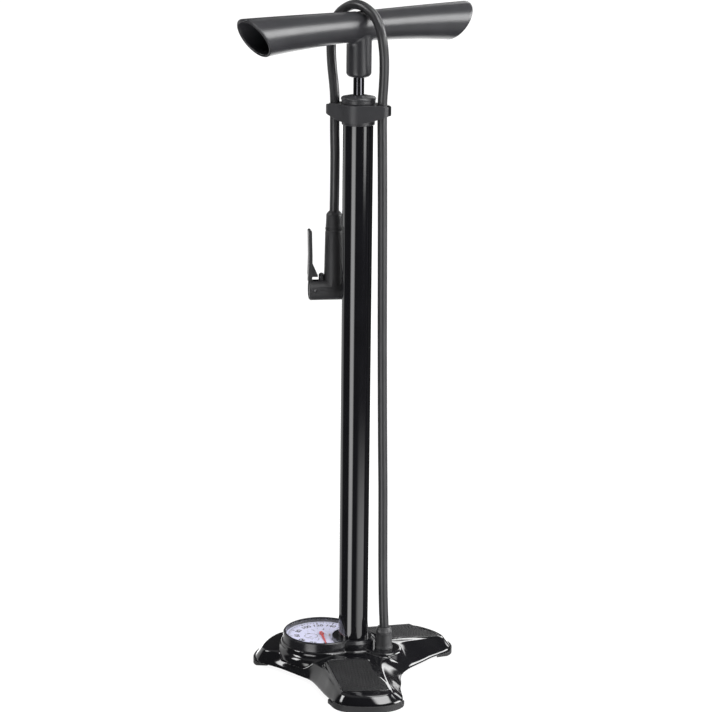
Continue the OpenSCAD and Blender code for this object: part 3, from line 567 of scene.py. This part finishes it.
def add_handle():
    lip = HANDLE_WALL / 2
    ts = np.linspace(HOLLOW_FROM, 1, 30)
    inner = [handle_ring(t, HANDLE_WALL, lip_pull(t)) for t in ts]
    lips = [handle_ring(1, lip + lip * math.cos(a), LIP_PULL * (1 - math.sin(a)))
            for a in np.linspace(0.3, math.pi - 0.3, 7)]
    outer = [handle_ring(t, 0, lip_pull(t)) for t in np.linspace(1, -1, 71)]
    flip = [[(-x, y, z) for x, y, z in ring] for ring in inner]
    flip_lips = [[(-x, y, z) for x, y, z in ring] for ring in lips[::-1]]
    tube = link("tube", ring_mesh("tube", inner + lips + outer + flip_lips + flip[::-1]))
    cut_away(tube, [lathe_mesh("bolt_recess", [(BOLT_RECESS_R, BOLT_RECESS_FOOT),
                                               (BOLT_RECESS_R, HANDLE_Z + 30)], sides=48)], "EXACT")
    hub = ring_mesh("hub", hub_rings())
    handle = joined("handle_body", [tube.data, hub])
    bpy.data.objects.remove(tube)
    handle.transform(Matrix.Rotation(math.radians(HANDLE_TURN), 4, "Z"))
    handle = link("handle_body", handle, 50)
    dress(handle, HANDLE)
    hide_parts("handle")
    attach(handle, "handle_rod")


# ---- gauge face ----

DIAL_Z = 34.6
NEEDLE_START = 30
SCALE_SWEEP = 240
SCALE_STEPS = 8
SCALE_NUMBER = 20
NUMBER_R, TICK_R = 27.0, 36.0
INNER_NUMBER_R = 14.5
# The outer scale's 160 psi in bar, for the inner scale
SCALE_END_BAR = 11.03
BOSS_CLEAR = 24.2


def scale_angle(share):
    return math.radians(NEEDLE_START - SCALE_SWEEP * share)


def off_boss(x, y):
    """True where a dial mark is clear of the barrel's collar; x, y are from the dial's centre."""
    return math.hypot(x, y + GAUGE_Y) > BOSS_CLEAR


def bar_mark(b, angle, r0, r1, width):
    """A thin raised mark along a radius of the dial, left out where the collar covers it."""
    c, s = math.cos(angle), math.sin(angle)
    if not (off_boss(r0 * c, r0 * s) and off_boss(r1 * c, r1 * s)):
        return
    corners = [(r0, -width / 2), (r1, -width / 2), (r1, width / 2), (r0, width / 2)]
    flat = [((u * c - v * s) * MM, (GAUGE_Y + u * s + v * c) * MM) for u, v in corners]
    low = [b.verts.new((x, y, DIAL_Z * MM)) for x, y in flat]
    high = [b.verts.new((x, y, (DIAL_Z + 0.05) * MM)) for x, y in flat]
    b.faces.new(high)
    b.faces.new(low[::-1])
    for i in range(4):
        j = (i + 1) % 4
        b.faces.new((low[i], low[j], high[j], high[i]))


def number_mesh(text, size, angle, radius):
    """A number on the dial whose foot points at the dial's centre."""
    curve = bpy.data.curves.new("number", "FONT")
    curve.body = text
    curve.size = size * MM
    curve.align_x = "CENTER"
    curve.align_y = "CENTER"
    curve.extrude = 0.025 * MM
    curve.offset = 0.02 * size * MM
    holder = bpy.data.objects.new("number", curve)
    bpy.context.scene.collection.objects.link(holder)
    bpy.context.view_layer.update()
    mesh = bpy.data.meshes.new_from_object(holder)
    x, y = radius * math.cos(angle) * MM, (GAUGE_Y + radius * math.sin(angle)) * MM
    mesh.transform(Matrix.Translation((x, y, (DIAL_Z + 0.03) * MM))
                   @ Matrix.Rotation(angle - math.pi / 2, 4, "Z"))
    bpy.data.objects.remove(holder)
    return mesh


def add_dial_print():
    marks = bmesh.new()
    for i in range(SCALE_STEPS * 5 + 1):
        major = i % 5 == 0
        bar_mark(marks, scale_angle(i / (SCALE_STEPS * 5)), 32.0 if major else 34.0, TICK_R,
                 1.1 if major else 0.5)
    for i in range(12):
        bar_mark(marks, scale_angle(i / SCALE_END_BAR), 17.2, 19.2, 0.4)
    for centre, radius, width in (((0, 0), 36.4, 0.35), ((9, -9), 7, 0.4)):
        steps = 120
        for i in range(steps):
            a = 2 * math.pi * i / steps
            x, y = centre[0] + radius * math.cos(a), centre[1] + radius * math.sin(a)
            if off_boss(x, y):
                half = math.pi * radius / steps * 1.05
                made = bmesh.ops.create_cube(marks, size=1)
                place = (Matrix.Translation((x * MM, (GAUGE_Y + y) * MM, (DIAL_Z + 0.02) * MM))
                         @ Matrix.Rotation(a + math.pi / 2, 4, "Z")
                         @ Matrix.Diagonal((2 * half * MM, width * MM, 0.05 * MM, 1)))
                bmesh.ops.transform(marks, matrix=place, verts=made["verts"])
    mesh = bpy.data.meshes.new("marks")
    marks.to_mesh(mesh)
    marks.free()
    meshes = [mesh]
    for i in range(SCALE_STEPS + 1):
        angle = scale_angle(i / SCALE_STEPS)
        if off_boss(NUMBER_R * math.cos(angle) * 1.05, NUMBER_R * math.sin(angle) * 1.05):
            meshes.append(number_mesh(str(i * SCALE_NUMBER), 8.0, angle, NUMBER_R))
    for i in range(1, 11, 2):
        angle = scale_angle(i / SCALE_END_BAR)
        if off_boss(14 * math.cos(angle), 14 * math.sin(angle) * 1.2):
            meshes.append(number_mesh(str(i), 4.4, angle, INNER_NUMBER_R))
    piece = link("dial_marks", joined("dial_marks", meshes), 30)
    dress(piece, PRINT)
    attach(piece, "root")


# ---- finishes of the CAD nodes ----

FINISHES = {
    "gloss_base": GLOSS_BASE, "step_pad": STEP_PAD, "foot_rubber": FOOT, "cover_plastic": COVER,
    "steel": STEEL, "bezel_black": BEZEL, "lens_clear": LENS, "dial_face": DIAL,
    "gauge_case": CASE, "brass": BRASS, "needle_red": NEEDLE_RED, "barrel_black": BARREL,
    "satin_plastic": SATIN, "bush_plastic": BUSH, "seal_rubber": SEAL, "hose_rubber": HOSE,
    "boot_rubber": BOOT, "head_plastic": HEAD, "rod_black": ROD, "handle_plastic": HANDLE,
    "alloy": ALLOY}

# Width in mm of the rounding on each node's edges, where it isn't the usual one
ROUNDING = {
    "hose_clip_collar": 1.2, "barrel_cap": 0.6, "gauge_bezel": 0.5, "head_body": 0.7,
    "lever": 0.6, "head_front_cap": 0.4, "head_nut": 0.5, "hose_boot": 0.5, "step_pad_right": 0.5,
    "step_pad_left": 0.5, "foot_right": 0.6, "foot_left": 0.6, "foot_gauge_side": 0.6,
    "handle_bolt": 0.4, "barrel": 0.3}
NO_ROUNDING = {"gauge_lens", "gauge_dial", "hose", "check_valve_spring", "pinion_spindle",
               "sector_gear", "needle", "handle", "base_casting"}


def dress_nodes():
    """Each CAD node gets its slot's finish and smooth shading; all but the NO_ROUNDING nodes get
    softly rounded edges, and those get split edges instead.
    """
    for part in frame["record"]["subparts"]:
        piece = NODES[part["node"]]
        dress(piece, FINISHES[part["material_slot"]])
        mesh = piece.data
        if "custom_normal" in mesh.attributes:
            mesh.attributes.remove(mesh.attributes["custom_normal"])
        for polygon in mesh.polygons:
            polygon.use_smooth = True
        weld = piece.modifiers.new("weld", "WELD")
        weld.merge_threshold = 1e-5
        if part["node"] in NO_ROUNDING:
            split = piece.modifiers.new("edges", "EDGE_SPLIT")
            split.split_angle = math.radians(35)
            continue
        flat = piece.modifiers.new("flats", "DECIMATE")
        flat.decimate_type = "DISSOLVE"
        flat.angle_limit = math.radians(0.4)
        bevel = piece.modifiers.new("rounding", "BEVEL")
        bevel.width = ROUNDING.get(part["node"], 0.2) * MM
        bevel.segments = 3
        bevel.limit_method = "ANGLE"
        bevel.angle_limit = math.radians(32)
        bevel.harden_normals = True


# ---- studio ----

FLOOR_GLOW = 0.93
FLOOR_HALF = 30.0


def add_floor():
    mesh = bpy.data.meshes.new("floor")
    h = FLOOR_HALF
    mesh.from_pydata([(-h, -h, 0), (h, -h, 0), (h, h, 0), (-h, h, 0)], [], [(0, 1, 2, 3)])
    floor = link("floor", mesh)
    floor.data.materials.append(floor_finish())
    floor.visible_glossy = False


def add_world():
    """A dim room with soft panels of light, each a smooth patch of the surrounding sky."""
    world = bpy.data.worlds.new("studio")
    bpy.context.scene.world = world
    world.use_nodes = True
    tree = world.node_tree
    tree.nodes.clear()
    direction = tree.nodes.new("ShaderNodeTexCoord").outputs["Generated"]
    parts = tree.nodes.new("ShaderNodeSeparateXYZ")
    tree.links.new(direction, parts.inputs[0])
    level = tree.nodes.new("ShaderNodeCombineXYZ")
    tree.links.new(parts.outputs["X"], level.inputs["X"])
    tree.links.new(parts.outputs["Y"], level.inputs["Y"])
    heading = tree.nodes.new("ShaderNodeVectorMath")
    heading.operation = "NORMALIZE"
    tree.links.new(level.outputs[0], heading.inputs[0])

    def step(value, low, high):
        node = tree.nodes.new("ShaderNodeMapRange")
        node.interpolation_type = "SMOOTHSTEP"
        node.inputs["From Min"].default_value = low
        node.inputs["From Max"].default_value = high
        tree.links.new(value, node.inputs["Value"])
        return node.outputs["Result"]

    def combine(operation, a, b):
        node = tree.nodes.new("ShaderNodeMath")
        node.operation = operation
        for value, socket in ((a, node.inputs[0]), (b, node.inputs[1])):
            if isinstance(value, float):
                socket.default_value = value
            else:
                tree.links.new(value, socket)
        return node.outputs[0]

    def sine(degrees):
        return math.sin(math.radians(degrees))

    def panel(right, half, feather, low, high, soft, light):
        """A panel centred so many degrees to the right of the camera, between two heights."""
        a = math.radians(CAMERA_TURN + right)
        dot = tree.nodes.new("ShaderNodeVectorMath")
        dot.operation = "DOT_PRODUCT"
        dot.inputs[1].default_value = (math.cos(a), math.sin(a), 0)
        tree.links.new(heading.outputs[0], dot.inputs[0])
        wide = step(dot.outputs["Value"], math.cos(math.radians(half + feather)),
                    math.cos(math.radians(half)))
        over = step(parts.outputs["Z"], sine(low - soft), sine(low + soft))
        past_top = step(parts.outputs["Z"], sine(high - soft), sine(high + soft))
        band = combine("MULTIPLY", over, combine("SUBTRACT", 1.0, past_top))
        return combine("MULTIPLY", combine("MULTIPLY", wide, band), light)

    total = combine("MULTIPLY", step(parts.outputs["Z"], sine(38), sine(66)), TOP_LIGHT)
    for values in PANELS:
        total = combine("ADD", total, panel(*values))
    total = combine("ADD", total, ROOM_LIGHT)
    studio = tree.nodes.new("ShaderNodeBackground")
    tree.links.new(total, studio.inputs["Strength"])
    backdrop = tree.nodes.new("ShaderNodeBackground")
    backdrop.inputs["Color"].default_value = (1, 1, 1, 1)
    seen = tree.nodes.new("ShaderNodeLightPath")
    mix = tree.nodes.new("ShaderNodeMixShader")
    tree.links.new(seen.outputs["Is Camera Ray"], mix.inputs["Fac"])
    tree.links.new(studio.outputs[0], mix.inputs[1])
    tree.links.new(backdrop.outputs[0], mix.inputs[2])
    output = tree.nodes.new("ShaderNodeOutputWorld")
    tree.links.new(mix.outputs[0], output.inputs["Surface"])


ROOM_LIGHT = 0.05
TOP_LIGHT = 0.35
# degrees right of the camera, half width, feather, lowest, highest, softness, brightness
PANELS = [
    (-32.0, 6.0, 13.0, -60.0, -7.5, 1.0, 5.2),    # tall strip on the left
    (-75.0, 7.0, 4.0, 18.0, 42.0, 3.0, 13.0),     # small box high on the left
    (53.0, 5.0, 8.0, -9.5, -7.0, 1.0, 5.0),       # foot of the box on the right
    (52.0, 10.0, 16.0, -7.0, 4.0, 1.0, 8.0),      # box on the right
    (48.0, 20.0, 12.0, 36.0, 56.0, 3.0, 11.0),    # high box in front, on the right
    (75.0, 40.0, 14.0, 57.0, 86.0, 3.0, 5.0),     # overhead box, towards the right
    (96.0, 12.0, 9.0, 1.0, 28.0, 4.0, 13.5),      # wall on the right
    (157.0, 13.0, 7.0, 12.0, 26.0, 3.0, 5.0),     # wall behind, on the right
    (178.0, 22.0, 8.0, -50.0, -6.0, 3.0, 2.8),    # floor behind
    (-132.0, 16.0, 12.0, -40.0, 40.0, 3.0, 0.9),  # faint panel behind, on the left
    (56.0, 8.0, 34.0, -60.0, -17.0, 2.0, 2.6)]    # floor in front, on the right


add_camera()
add_hose()
dress_nodes()
add_base()
for pad_side, pad_name in ((1, "right"), (-1, "left")):
    add_pad_trim(pad_side, pad_name)
add_handle()
add_dial_print()
add_floor()
add_world()
bpy.context.scene.view_settings.view_transform = "Standard"
